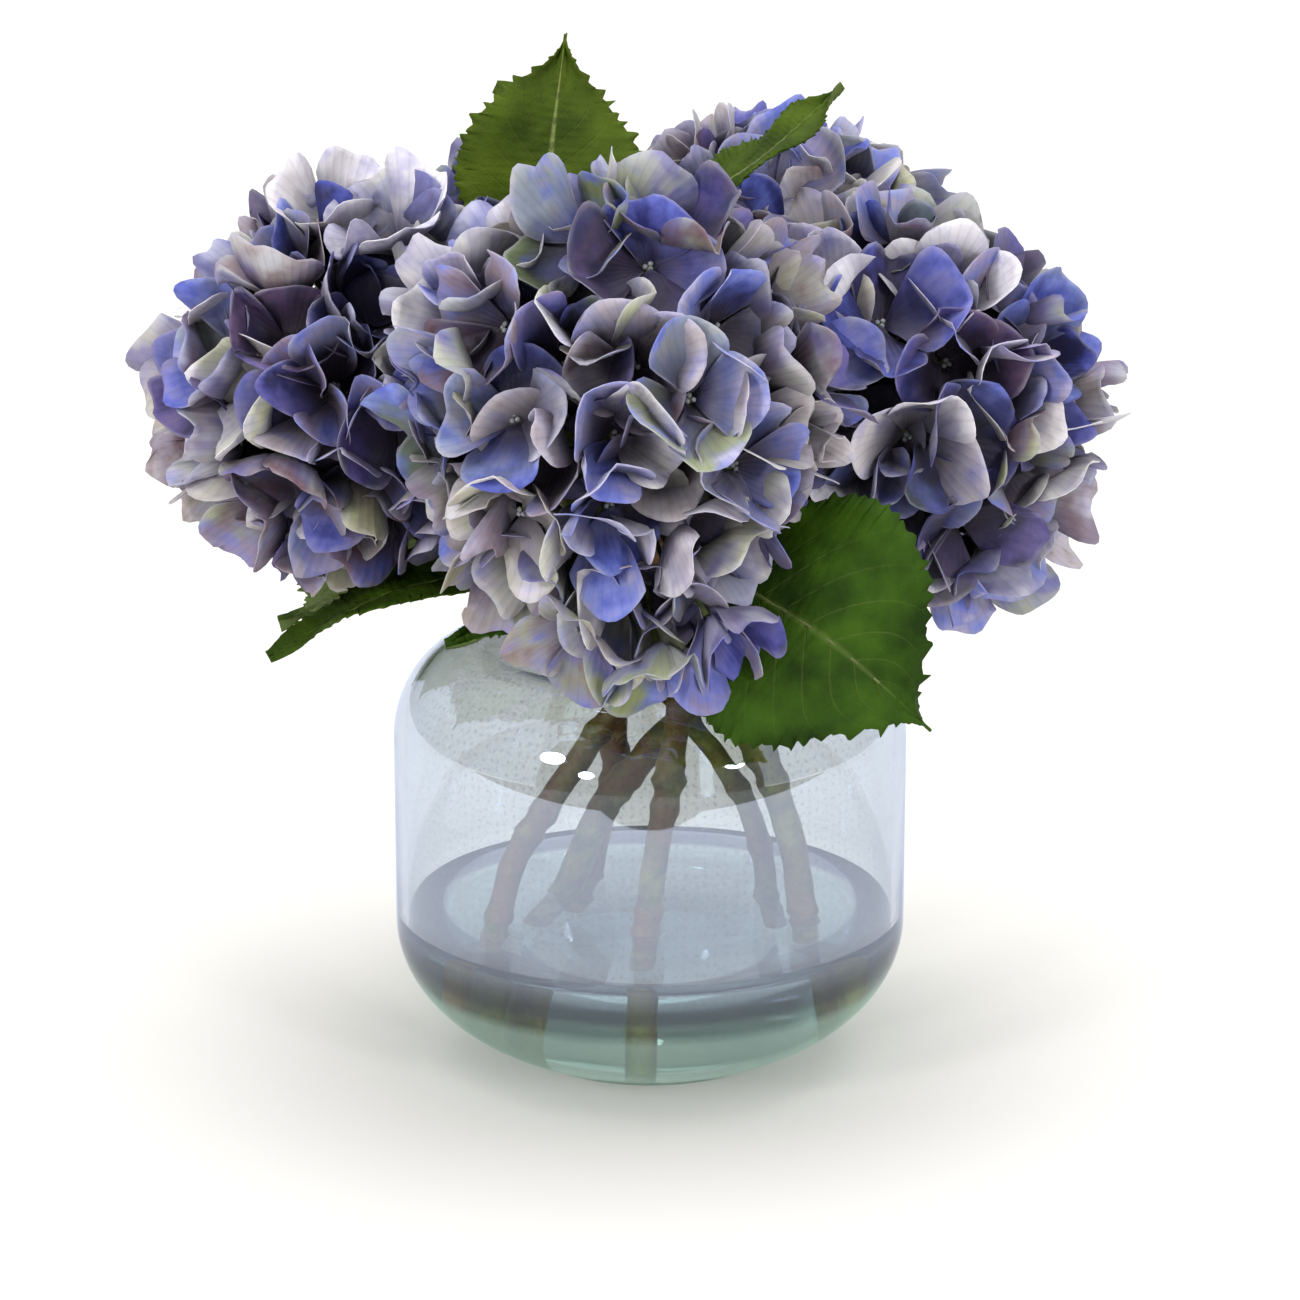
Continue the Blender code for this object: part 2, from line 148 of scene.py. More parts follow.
def petal_cloth(name, underside):
    """Dyed polyester satin, hot-pressed into petals and airbrushed by hand, so no two petals are alike.
    Painted shade darkens the petals deep in the head, and a painted highlight lightens their rims.
    """
    made, tree = new_tree(name)
    tint = add(tree, "Attribute", attribute_name="petal_tint")
    hue, moss, blush = add(tree, "SeparateColor", tint).node.outputs[:3]
    painted_shade = add(tree, "Attribute", attribute_name="petal_painted_shade", out="Fac")
    edge, along = add(tree, "SeparateXYZ", add(tree, "UVMap")).node.outputs[:2]
    place = add(tree, "TexCoord", out="Object")
    cloud = add(tree, "TexNoise", {"Vector": place, "Scale": 95.0, "Detail": 3.0})
    spray = add(tree, "TexNoise", {"Vector": place, "Scale": 60.0, "Detail": 2.0})
    drift = add(tree, "Math", cloud, 1.1, -0.53, operation="MULTIPLY_ADD")
    face = add(tree, "ValToRGB", add(tree, "Math", hue, drift, operation="ADD"), stops=PETAL_DYES)
    if underside:
        reverse = add(tree, "ValToRGB", spray, stops=[(0.40, "7e7894"), (0.50, "b2aec8"), (0.60, "e6e4ee")])
        face = add(tree, "Mix", {0: 0.62, 6: face, 7: reverse}, data_type="RGBA", out=2)
    # Moss green was sprayed on in patches, and a dusty mauve where the cloth was meant to look aged.
    patch = add(tree, "MapRange", spray, 0.40, 0.60, 0.0, 1.0)
    green = add(tree, "Math", moss, patch, operation="MULTIPLY")
    leafy = add(tree, "ValToRGB", hue, stops=[(0.20, "5d6e34"), (0.8, "ccd0a4")])
    face = add(tree, "Mix", {0: green, 6: face, 7: leafy}, data_type="RGBA", out=2)
    dusty = add(tree, "MapRange", cloud, 0.35, 0.65, 0.1, 1.0)
    aged = add(tree, "Math", blush, dusty, operation="MULTIPLY")
    face = add(tree, "Mix", {0: aged, 6: face, 7: "785660"}, data_type="RGBA", out=2)
    # Each petal darkens towards its root, in the floret's throat.
    throat = add(tree, "MapRange", along, 0.60, 0.0, 0.0, 0.88)
    face = add(tree, "Mix", {0: throat, 6: face, 7: "2c2756"}, data_type="RGBA", out=2)
    fan = add(tree, "Math", tint.node.outputs["Alpha"], PETAL_VEINS, operation="MULTIPLY")
    veins = add(tree, "Math", fan, operation="SINE")
    vein = add(tree, "MapRange", veins, 0.50, 1.0, 0.0, 0.11)
    face = add(tree, "Mix", {0: vein, 6: face, 7: "33366e"}, data_type="RGBA", out=2)
    # Painted highlight: the rim is paler in patches, as where light catches the edge of the cloth.
    near_rim = add(tree, "MapRange", edge, 0.90, 1.0, 0.0, 0.30)
    highlight_patches = add(tree, "MapRange", spray, 0.42, 0.62, 0.0, 1.0)
    rim = add(tree, "Math", near_rim, highlight_patches, operation="MULTIPLY")
    face = add(tree, "Mix", {0: rim, 6: face, 7: "d6d2e2"}, data_type="RGBA", out=2)
    # Painted shade: petals deep inside the head, between the florets, are darkened towards near black.
    face = add(tree, "Mix", {0: painted_shade, 6: face, 7: "1c1018"}, data_type="RGBA", out=2)
    weave = add(tree, "TexNoise", {"Vector": place, "Scale": 800.0})
    relief = add(tree, "Math", veins, 0.35, weave, operation="MULTIPLY_ADD")
    bump = add(tree, "Bump", {"Strength": 0.30, "Distance": 0.0004, "Height": relief})
    cloth = add(tree, "BsdfPrincipled", {"Base Color": face, "Normal": bump, "Roughness": 0.55,
                                         "Sheen Weight": 0.12, "Specular IOR Level": 0.35})
    glow = add(tree, "BsdfTranslucent", face)
    add(tree, "OutputMaterial", add(tree, "MixShader", 0.14, cloth, glow))
    return made


def painted_plastic(name, dark, light, grain, roughness):
    """Soft polyethylene moulded over wire and painted in two mottled tones; grain is features per metre."""
    made, tree = new_tree(name)
    place = add(tree, "TexCoord", out="Object")
    cloud = add(tree, "TexNoise", {"Vector": place, "Scale": grain, "Detail": 5.0})
    mottle = add(tree, "MapRange", cloud, 0.38, 0.62, 0.0, 1.0)
    face = add(tree, "Mix", {0: mottle, 6: dark, 7: light}, data_type="RGBA", out=2)
    rough = add(tree, "TexNoise", {"Vector": place, "Scale": grain * 4, "Detail": 4.0})
    bump = add(tree, "Bump", {"Strength": 0.6, "Distance": 0.0006, "Height": rough})
    plastic = add(tree, "BsdfPrincipled", {"Base Color": face, "Normal": bump, "Roughness": roughness})
    add(tree, "OutputMaterial", plastic)
    return made


def stem_bark():
    """Olive moulded stem with brown brushed over it in rings and streaks, as on a cut woody twig."""
    made, tree = new_tree("stem_bark")
    place = add(tree, "TexCoord", out="Object")
    fine = add(tree, "TexNoise", {"Vector": place, "Scale": 120.0, "Detail": 5.0})
    fleck = add(tree, "MapRange", fine, 0.36, 0.64, 0.0, 1.0)
    olive = add(tree, "Mix", {0: fleck, 6: "474c12", 7: "7a782c"}, data_type="RGBA", out=2)
    broad = add(tree, "TexNoise", {"Vector": place, "Scale": 38.0, "Detail": 3.0})
    brushed = add(tree, "MapRange", broad, 0.46, 0.60, 0.0, 0.9)
    face = add(tree, "Mix", {0: brushed, 6: olive, 7: "664218"}, data_type="RGBA", out=2)
    rough = add(tree, "TexNoise", {"Vector": place, "Scale": 420.0, "Detail": 5.0})
    bump = add(tree, "Bump", {"Strength": 0.8, "Distance": 0.001, "Height": rough})
    bark = add(tree, "BsdfPrincipled", {"Base Color": face, "Normal": bump, "Roughness": 0.5})
    add(tree, "OutputMaterial", bark)
    return made


def leaf_cloth(name, underside):
    """Printed green polyester leaf, pressed in a mould that leaves sunk veins and quilted fields."""
    made, tree = new_tree(name)
    across, along = add(tree, "SeparateXYZ", add(tree, "UVMap")).node.outputs[:2]
    place = add(tree, "TexCoord", out="Object")
    centred = add(tree, "Math", across, 2.0, -1.0, operation="MULTIPLY_ADD")
    aside = add(tree, "Math", centred, operation="ABSOLUTE")
    slanted = add(tree, "Math", aside, -VEIN_SLOPE, along, operation="MULTIPLY_ADD")
    row = add(tree, "Math", slanted, VEIN_PAIRS, operation="MULTIPLY")
    in_row = add(tree, "Math", add(tree, "Math", row, operation="FRACT"), 0.5, operation="SUBTRACT")
    from_vein = add(tree, "Math", in_row, operation="ABSOLUTE")
    line = add(tree, "MapRange", from_vein, 0.05, 0.0, 0.0, 1.0)
    fading = add(tree, "MapRange", aside, 1.0, 0.4, 0.0, 1.0)
    vein = add(tree, "Math", line, fading, operation="MULTIPLY")
    midrib = add(tree, "MapRange", aside, 0.04, 0.012, 0.0, 1.0)
    tint = add(tree, "Attribute", attribute_name="leaf_tint", out="Fac")
    blot = add(tree, "TexNoise", {"Vector": place, "Scale": 65.0, "Detail": 5.0})
    cloud = add(tree, "MapRange", blot, 0.32, 0.68, 0.0, 1.0)
    fresh = add(tree, "Mix", {0: cloud, 6: "1c3404", 7: "3a5a0e"}, data_type="RGBA", out=2)
    olive = add(tree, "Mix", {0: cloud, 6: "384a0e", 7: "5a6c1a"}, data_type="RGBA", out=2)
    green = add(tree, "Mix", {0: tint, 6: fresh, 7: olive}, data_type="RGBA", out=2)
    if underside:
        green = add(tree, "Mix", {0: 0.45, 6: green, 7: "76844f"}, data_type="RGBA", out=2)
    faint = add(tree, "Math", vein, 0.14, operation="MULTIPLY")
    green = add(tree, "Mix", {0: faint, 6: green, 7: "8a9a55"}, data_type="RGBA", out=2)
    strength = add(tree, "MapRange", tint, 0.0, 1.0, 0.12, 0.7)
    rib = add(tree, "Math", midrib, strength, operation="MULTIPLY")
    green = add(tree, "Mix", {0: rib, 6: green, 7: "98a562"}, data_type="RGBA", out=2)
    sunk = add(tree, "Math", vein, midrib, operation="ADD")
    weave = add(tree, "TexNoise", {"Vector": place, "Scale": 1100.0})
    relief = add(tree, "Math", sunk, -1.0, weave, operation="MULTIPLY_ADD")
    bump = add(tree, "Bump", {"Strength": 0.5, "Distance": 0.0006, "Height": relief})
    cloth = add(tree, "BsdfPrincipled", {"Base Color": green, "Normal": bump, "Roughness": 0.60,
                                         "Specular IOR Level": 0.12})
    glow = add(tree, "BsdfTranslucent", green)
    add(tree, "OutputMaterial", add(tree, "MixShader", 0.10, cloth, glow))
    return made


def blown_glass(name, lustred):
    """Mouth-blown soda glass. Its outside has rows of seed bubbles and a pale vapour lustre."""
    made, tree = new_tree(name)
    place = add(tree, "TexCoord", out="Object")
    x, y, z = add(tree, "SeparateXYZ", place).node.outputs[:3]
    waves = add(tree, "TexNoise", {"Vector": place, "Scale": 14.0, "Detail": 2.0})
    bump = add(tree, "Bump", {"Strength": 0.10, "Distance": 0.002, "Height": waves})
    angle = add(tree, "Math", y, x, operation="ARCTAN2")
    around = add(tree, "Math", angle, VASE_RADIUS, operation="MULTIPLY")
    wrapped = add(tree, "CombineXYZ", around, z, 0.0)
    rows = {"Vector": wrapped, "Scale": 1 / SEED_SPACING, "Randomness": 0.35}
    seeds = add(tree, "TexVoronoi", rows, voronoi_dimensions="2D")
    seed = add(tree, "MapRange", seeds, 0.20, 0.11, 0.0, 0.42 if lustred else 0.0)
    face = add(tree, "Mix", {0: seed, 6: "f2f6f5", 7: "76868c"}, data_type="RGBA", out=2)
    glass = add(tree, "BsdfPrincipled", {"Base Color": face, "Normal": bump, "Roughness": 0.0, "IOR": 1.5,
                                         "Transmission Weight": 1.0})
    # Two lustres: blue on the wall and shoulder, sea green under the bowl, and a thinner coat between.
    rise = add(tree, "MapRange", z, 0.0, LUSTRE_TOP, 0.0, 1.0)
    coverage = [(0.50, "9c9c9c"), (0.58, "404040"), (0.72, "404040"), (1.0, "9c9c9c")]
    amount = add(tree, "ValToRGB", rise, stops=coverage)
    colour = add(tree, "ValToRGB", rise, stops=[(0.55, "d2f0e8"), (0.72, "c2cfea")])
    coat = add(tree, "BsdfGlossy", {"Color": colour, "Roughness": 0.02, "Normal": bump})
    coated = add(tree, "MixShader", amount, glass, coat) if lustred else glass
    # Lamps shine through it unbent, so that the stems inside are lit.
    lamp_ray = add(tree, "LightPath", out="Is Shadow Ray")
    clear = add(tree, "BsdfTransparent", "e8e8e6")
    add(tree, "OutputMaterial", add(tree, "MixShader", lamp_ray, coated, clear))
    return made


def still_water():
    """Clear water, pale green below and pale lilac at its surface, with a slate band of painted shade just
    under the surface for the shade and dark reflections seen in it.
    """
    made, tree = new_tree("still_water")
    place = add(tree, "TexCoord", out="Object")
    height = add(tree, "SeparateXYZ", place).node.outputs["Z"]
    # The slate stops are painted shade: a dark band just under the surface.
    shade_band = [(0.0, "e6f5ec"), (0.70, "e0f3ea"), (0.76, "5a6272"), (0.90, "7b8694"), (0.985, "c0c2e0"),
            (1.0, "eceaff")]
    face = add(tree, "ValToRGB", add(tree, "MapRange", height, 0.0, WATER_LEVEL, 0.0, 1.0), stops=shade_band)
    ripple = add(tree, "TexNoise", {"Vector": place, "Scale": 20.0, "Detail": 1.0})
    bump = add(tree, "Bump", {"Strength": 0.05, "Distance": 0.001, "Height": ripple})
    water = add(tree, "BsdfPrincipled", {"Base Color": face, "Normal": bump, "Roughness": 0.0, "IOR": 1.333,
                                         "Transmission Weight": 1.0})
    lamp_ray = add(tree, "LightPath", out="Is Shadow Ray")
    clear = add(tree, "BsdfTransparent", "e2e6e6")
    add(tree, "OutputMaterial", add(tree, "MixShader", lamp_ray, water, clear))
    return made


def studio_paper(name, dark, light):
    """Matt backdrop paper, very slightly cloudy."""
    made, tree = new_tree(name)
    cloud = add(tree, "TexNoise", {"Vector": add(tree, "TexCoord", out="Object"), "Scale": 6.0})
    face = add(tree, "Mix", {0: cloud, 6: dark, 7: light}, data_type="RGBA", out=2)
    paper = add(tree, "BsdfPrincipled", {"Base Color": face, "Roughness": 0.9, "Specular IOR Level": 0.1})
    add(tree, "OutputMaterial", paper)
    return made


# ---------------------------------------------------------------- shape helpers


def smooth_path(points, steps):
    """Points evenly spaced along a Catmull-Rom curve through the given points."""
    ends = [2 * points[0] - points[1], *points, 2 * points[-1] - points[-2]]
    fine = []
    for p0, p1, p2, p3 in zip(ends, ends[1:], ends[2:], ends[3:]):
        for i in range(16):
            t = i / 16
            fine.append(0.5 * (2 * p1 + (p2 - p0) * t + (2 * p0 - 5 * p1 + 4 * p2 - p3) * t ** 2
                               + (3 * p1 - p0 - 3 * p2 + p3) * t ** 3))
    fine.append(points[-1])
    travelled = [0.0]
    for a, b in zip(fine, fine[1:]):
        travelled.append(travelled[-1] + (b - a).length)
    path, piece_index = [], 0
    for i in range(steps + 1):
        target = travelled[-1] * i / steps
        while piece_index < len(fine) - 2 and travelled[piece_index + 1] < target:
            piece_index += 1
        share = (target - travelled[piece_index]) / (travelled[piece_index + 1] - travelled[piece_index])
        path.append(fine[piece_index].lerp(fine[piece_index + 1], min(1.0, share)))
    return path


def rods_mesh(name, rods, smoothness=3):
    """Round rods with filled ends as one mesh; each rod is its points and its radius at each."""
    curve = bpy.data.curves.new(name, "CURVE")
    curve.dimensions = "3D"
    curve.bevel_depth = 1
    curve.bevel_resolution = smoothness
    curve.use_fill_caps = True
    for points, radii in rods:
        spline = curve.splines.new("POLY")
        spline.points.add(len(points) - 1)
        for point, place, radius in zip(spline.points, points, radii):
            point.co = (*place, 1)
            point.radius = radius
    helper = bpy.data.objects.new(name, curve)
    bpy.context.collection.objects.link(helper)
    bpy.context.view_layer.update()
    mesh = bpy.data.meshes.new_from_object(helper.evaluated_get(bpy.context.evaluated_depsgraph_get()))
    bpy.data.objects.remove(helper)
    bm = bmesh.new()
    bm.from_mesh(mesh)
    bmesh.ops.remove_doubles(bm, verts=bm.verts, dist=0.00001)
    bmesh.ops.recalc_face_normals(bm, faces=bm.faces)
    bm.to_mesh(mesh)
    bm.free()
    mesh.shade_smooth()
    mesh.set_sharp_from_angle(angle=math.radians(50))
    return mesh


def piece(name, mesh, slot, nodes, *materials):
    """A finished piece that rides on the part and stands for the CAD nodes it names."""
    mesh.materials.clear()
    for material in materials:
        mesh.materials.append(material)
    obj = bpy.data.objects.new(name, mesh)
    bpy.context.collection.objects.link(obj)
    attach(obj, "root")
    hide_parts(*nodes)
    return obj


def arc(centre, reach, rise, start, end, steps):
    """Points of an elliptical arc in the (radius, height) plane, angles in degrees from outward."""
    angles = (math.radians(start + (end - start) * i / steps) for i in range(steps + 1))
    return [(centre[0] + reach * math.cos(a), centre[1] + rise * math.sin(a)) for a in angles]


def turned_mesh(name, profile):
    """A solid of revolution about Z from (radius, height) points that start and end on the axis."""
    bm = bmesh.new()
    verts = [bm.verts.new((radius, 0, height)) for radius, height in profile]
    edges = [bm.edges.new(pair) for pair in zip(verts, verts[1:])]
    bmesh.ops.spin(bm, geom=verts + edges, cent=(0, 0, 0), axis=UP, angle=math.tau, steps=VASE_SIDES,
                   use_merge=True)
    bmesh.ops.remove_doubles(bm, verts=bm.verts, dist=0.00001)
    bmesh.ops.recalc_face_normals(bm, faces=bm.faces)
    mesh = bpy.data.meshes.new(name)
    bm.to_mesh(mesh)
    bm.free()
    mesh.shade_smooth()
    return mesh


# ---------------------------------------------------------------- vase and water

BOWL_CENTRE = (VASE_RADIUS - BOWL_REACH, BOWL_HEIGHT)
INNER_REACH = BOWL_REACH - GLASS_WALL
INNER_DROP = BOWL_HEIGHT - GLASS_FLOOR


def make_vase(outer_glass, inner_glass):
    shoulder = (VASE_RADIUS - SHOULDER_REACH, SHOULDER_HEIGHT)
    shoulder_top = SHOULDER_HEIGHT + SHOULDER_RISE
    fillet = (NECK_RADIUS + NECK_FILLET, shoulder_top + NECK_FILLET)
    lip = (NECK_RADIUS - GLASS_WALL / 2, RIM_HEIGHT - LIP)
    outside = [(0, 0), (FOOT_RADIUS * 0.5, 0), (FOOT_RADIUS * 0.94, 0), (FOOT_RADIUS * 1.02, FOOT_EDGE)]
    outside += arc(BOWL_CENTRE, BOWL_REACH, -BOWL_DROP, BOWL_SWEEP, 0, 40)
    outside += arc(shoulder, SHOULDER_REACH, SHOULDER_RISE, 0, 90, 26)
    outside += arc(fillet, -NECK_FILLET, -NECK_FILLET, 90, 0, 8)
    rim = arc(lip, GLASS_WALL / 2 + 0.0012, LIP, 0, 180, 10)
    inside = arc(fillet, -NECK_FILLET - GLASS_WALL, -NECK_FILLET - GLASS_WALL, 0, 90, 8)
    inside += arc(shoulder, SHOULDER_REACH - GLASS_WALL, SHOULDER_RISE - GLASS_WALL, 90, 0, 26)
    inside += arc(BOWL_CENTRE, INNER_REACH, -INNER_DROP, 0, 90, 36)
    mesh = turned_mesh("glass_vase", outside + rim + inside + [(0, GLASS_FLOOR)])
    obj = piece("glass_vase", mesh, "vase_glass", ["vase"], outer_glass, inner_glass)
    middle = Vector((0, 0, GLASS_MIDDLE))
    for face in mesh.polygons:
        face.material_index = 0 if face.normal.dot(face.center - middle) > 0 else 1
    return obj


def make_water(water):
    """The water overlaps the inner face of the glass a little, so that no air shows between them."""
    bite = 0.0003
    wall = VASE_RADIUS - GLASS_WALL
    profile = [(0, GLASS_FLOOR - bite)]
    profile += arc(BOWL_CENTRE, INNER_REACH + bite, -INNER_DROP - bite, 90, 0, 36)
    profile += [(wall + bite, WATER_LEVEL + 0.0011), (wall - 0.0008, WATER_LEVEL + 0.0004),
                (wall - 0.0022, WATER_LEVEL), (wall * 0.5, WATER_LEVEL), (0, WATER_LEVEL)]
    mesh = turned_mesh("still_water", profile)
    return piece("still_water", mesh, "water", ["water"], water)


# ---------------------------------------------------------------- stems

STEMS = {
    "front": (0.0043, [(-0.003, -0.029, 0.012), (0.000, -0.029, 0.062), (0.006, -0.029, 0.104),
                       (0.010, -0.029, 0.135), (0.008, -0.030, 0.160), (0.002, -0.042, 0.185)]),
    "right": (0.0043, [(-0.056, -0.018, 0.020), (-0.047, -0.017, 0.068), (-0.030, -0.017, 0.098),
                       (-0.008, -0.017, 0.132), (0.010, -0.016, 0.160), (0.036, -0.009, 0.184)]),
    "left": (0.0048, [(0.055, -0.006, 0.019), (0.051, -0.005, 0.061), (0.0435, -0.005, 0.091),
                      (0.0287, -0.005, 0.1195), (-0.006, -0.005, 0.160), (-0.038, -0.003, 0.188)]),
    "back_right": (0.0052, [(-0.040, 0.016, 0.015), (-0.020, 0.018, 0.072), (0.000, 0.019, 0.100),
                            (0.015, 0.019, 0.122), (0.024, 0.018, 0.160), (0.030, 0.040, 0.186)]),
    "back_left": (0.0042, [(-0.027, 0.031, 0.014), (-0.019, 0.0305, 0.062), (-0.013, 0.030, 0.085),
                           (-0.012, 0.029, 0.118), (-0.013, 0.027, 0.160), (-0.024, 0.042, 0.178)]),
    "foliage": (0.0042, [(0.044, 0.011, 0.018), (0.0375, 0.008, 0.070), (0.024, 0.007, 0.100),
                         (0.0136, 0.007, 0.116), (-0.005, 0.007, 0.158), (-0.004, 0.012, 0.210),
                         (-0.004, 0.013, 0.256)]),
}
NECK_CENTRE = Vector((0, 0, RIM_HEIGHT))
STEM_STEPS = 110
STEM_WANDER = 0.0007
# Knots: how many, how long each is as a share of the stem, and how far they and the grain stand out.
STEM_KNOTS = 9
KNOT_LENGTH = 0.011
KNOT_SWELL = 0.22
BARK_GRAIN = 0.07


def head_axis(centre):
    """The way the flower head looks: away from the vase's neck, turned part of the way upright."""
    return (centre - NECK_CENTRE).normalized().lerp(UP, 0.4).normalized()


def hub_place(head):
    centre, radius, _ = HEADS[head]
    return centre - head_axis(centre) * radius * 0.4


def make_stems(bark):
    for name, (radius, points) in STEMS.items():
        places = [Vector(p) for p in points]
        if name in HEADS:
            places.append(hub_place(name))
        path = smooth_path(places, STEM_STEPS)
        pick = random.Random("stem " + name)
        knots = sorted(pick.uniform(0.05, 0.95) for _ in range(STEM_KNOTS))
        radii = []
        for i, place in enumerate(path):
            share = i / STEM_STEPS
            swell = sum(math.exp(-((share - knot) / KNOT_LENGTH) ** 2) for knot in knots)
            grain = noise.noise(place * 160)
            thin = 1 - 0.45 * share if name not in HEADS else 1
            radii.append(radius * thin * (1 + KNOT_SWELL * swell + BARK_GRAIN * grain))
        bent = [place + Vector((noise.noise(place * 70), noise.noise(place * 70 + UP), 0)) * STEM_WANDER
                for place in path]
        mesh = rods_mesh("bark_" + name, [(bent, radii)], 5)
        piece("bark_" + name, mesh, "stem", ["stem_" + name], bark)


# ---------------------------------------------------------------- florets


class Floret:
    """One four-petalled flower: where it is, which way it looks, and how far it stands out."""

    def __init__(self, head, cluster, place, facing, level):
        self.head, self.cluster, self.place, self.facing, self.level = head, cluster, place, facing, level
        side = facing.orthogonal().normalized()
        self.basis = Matrix((side, facing.cross(side), facing)).transposed()
        self.walls = []


def cluster_directions(head):
    centre, _, turn = HEADS[head]
    axis = head_axis(centre)
    reference = Vector((math.cos(math.radians(turn)), math.sin(math.radians(turn)), 0))
    side = (reference - axis * reference.dot(axis)).normalized()
    tilt = math.radians(RING_ANGLE)
    first = axis * math.cos(tilt) + side * math.sin(tilt)
    turns = (Matrix.Rotation(math.tau * i / RING_CLUSTERS, 3, axis) for i in range(RING_CLUSTERS))
    return [axis, *(rotation @ first for rotation in turns)]


# Florets stand at one of four levels, on a ball of directions that wander, and each looks a little aside.
FLORET_LEVELS = (-0.0090, -0.0040, 0.0, 0.0030)
FLORET_WANDER = 0.07
FLORET_TILT = 0.26
# They are left out where they would look back along the stem (a cosine) or lie this deep in another head.
BARE_UNDERSIDE = -0.84
BURIED = 0.007
# How far apart two florets can be and still bend each other's petals.
NEIGHBOUR_RANGE = 0.042


def head_florets(head):
    """Florets spread evenly over a head's ball, left out around its stem and deep between two heads."""
    centre, radius, turn = HEADS[head]
    axis = head_axis(centre)
    directions = cluster_directions(head)
    pick = random.Random("florets " + head)
    spin = Matrix.Rotation(math.radians(turn), 3, "Z")
    found = []
    for i in range(FLORETS_PER_HEAD):
        height = 1 - 2 * (i + 0.5) / FLORETS_PER_HEAD
        ring = math.sqrt(1 - height * height)
        angle = math.pi * (3 - math.sqrt(5)) * i
        direction = spin @ Vector((ring * math.cos(angle), ring * math.sin(angle), height))
        direction += Vector([pick.gauss(0, FLORET_WANDER) for _ in range(3)])
        direction.normalize()
        level = pick.choice(FLORET_LEVELS) + pick.uniform(-0.001, 0.001)
        place = centre + direction * (radius - FLORET_DEPTH + level)
        tilt = Vector([pick.gauss(0, FLORET_TILT) for _ in range(3)])
        if direction.dot(axis) < BARE_UNDERSIDE:
            continue
        buried = any((place - other_centre).length < other_radius - FLORET_DEPTH - BURIED
                     for other, (other_centre, other_radius, _) in HEADS.items() if other != head)
        if buried:
            continue
        cluster = max(range(len(directions)), key=lambda k: direction.dot(directions[k]))
        found.append(Floret(head, cluster, place, (direction + tilt).normalized(), level))
    if head == "front":
        for place, facing in HANGING_FLORETS:
            found.append(Floret(head, 1, Vector(place), Vector(facing).normalized(), 0.002))
    return found


def set_walls(florets):
    """Where each floret's petals meet its neighbours': a higher floret reaches over a lower one."""
    for one in florets:
        for other in florets:
            gap = other.place - one.place
            if other is one or gap.length > NEIGHBOUR_RANGE:
                continue
            local = one.basis.transposed() @ gap
            flat = Vector((local.x, local.y))
            if flat.length < 0.004:
                continue
            reach = flat.length * 0.5 + (one.level - other.level) * 1.6
            reach = min(max(reach, flat.length * 0.25), flat.length * 0.9)
            one.walls.append((flat.normalized(), reach))


PETAL_ROWS, PETAL_COLUMNS = 8, 6
PETAL_ROOT = 0.0012
# Petals get painted shade from this far inside the head, and the darkest painted shade this much further in.
SHADE_START = 0.007
SHADE_RANGE = 0.018


class Petal:
    """One petal's shape: its size, how the mould pressed it, and how its neighbours bend it."""

    def __init__(self, floret, angle, pick):
        self.floret = floret
        self.length = PETAL_LENGTH * pick.uniform(0.84, 1.12)
        self.width = PETAL_WIDTH * pick.uniform(0.84, 1.14)
        self.lift = math.radians(pick.uniform(2, 26))
        self.cup = pick.uniform(-0.22, 0.34)
        self.crease = pick.choice((0, 0, 0, 1)) * pick.uniform(-0.35, 0.45)
        self.curl = pick.uniform(-0.35, 0.55)
        self.tip = pick.uniform(-0.04, 0.07)
        self.ruffle = pick.uniform(0.0005, 0.0021)
        self.phases = pick.uniform(0, math.tau), pick.uniform(0, math.tau)
        self.roll_side = pick.choice((-1, 1))
        self.roll = pick.uniform(0.3, 1.5) if pick.random() < 0.40 else 0.0
        self.start = pick.uniform(0.001, 0.006)
        self.bend = pick.uniform(0.0055, 0.0130)
        self.steepest = math.radians(pick.uniform(22, 82))
        self.along_way = Vector((math.cos(angle), math.sin(angle)))
        self.across_way = Vector((math.sin(angle), -math.cos(angle)))

    def bent_up(self, point):
        """A flat point of the petal, carried up where it reaches the walls around its floret."""
        towards, total, over = Vector((0, 0)), 0.0, -1.0
        for normal, reach in self.floret.walls:
            past = point.dot(normal) - reach + self.start
            over = max(over, past)
            weight = math.exp(min(past, 0.03) / 0.0030)
            towards += normal * weight
            total += weight
        if over <= 0 or total == 0:
            return Vector((point.x, point.y, 0))
        towards.normalize()
        turn = min(over / self.bend, self.steepest)
        straight = max(0.0, over - self.bend * self.steepest)
        ahead = self.bend * math.sin(turn) + straight * math.cos(self.steepest)
        rise = self.bend * (1 - math.cos(turn)) + straight * math.sin(self.steepest)
        flat = point - towards * (over - ahead)
        return Vector((flat.x, flat.y, rise))

    def surface(self, x, y):
        """A point of the square pattern on the petal: its place, and how far out, along and across it is."""
        u = x * math.sqrt(1 - y * y / 2)
        v = y * math.sqrt(1 - x * x / 2)
        edge = math.hypot(u, v)
        share = 0.5 + 0.5 * v
        claw = 0.30 + 0.70 * min(1.0, share / 0.42) ** 0.8
        along = self.length * (share + self.tip * max(0.0, v) ** 3 * (1 - abs(u)))
        across = self.width / 2 * u * claw * (1 - 0.10 * max(0.0, v) ** 2)
        ahead = PETAL_ROOT + along * math.cos(self.lift)
        spot = self.bent_up(self.along_way * ahead + self.across_way * across)
        turn = math.atan2(v, u)
        spot.z += along * math.sin(self.lift) + self.cup * across * across / (self.width / 2)
        spot.z += self.crease * abs(across) * share
        spot.z -= self.curl * self.length * max(0.0, share - 0.55) ** 2 * 1.6
        waves = math.sin(turn * 3 + self.phases[0]) + 0.6 * math.sin(turn * 5 + self.phases[1])
        spot.z += self.ruffle * waves * edge ** 3
        spot.z += self.roll * 0.006 * max(0.0, u * self.roll_side - 0.30) ** 1.5 * 2.2
        place = self.floret.place + self.floret.basis @ spot
        place += self.floret.facing * 0.0020 * noise.noise(place * 75)
        return place, edge, share, across


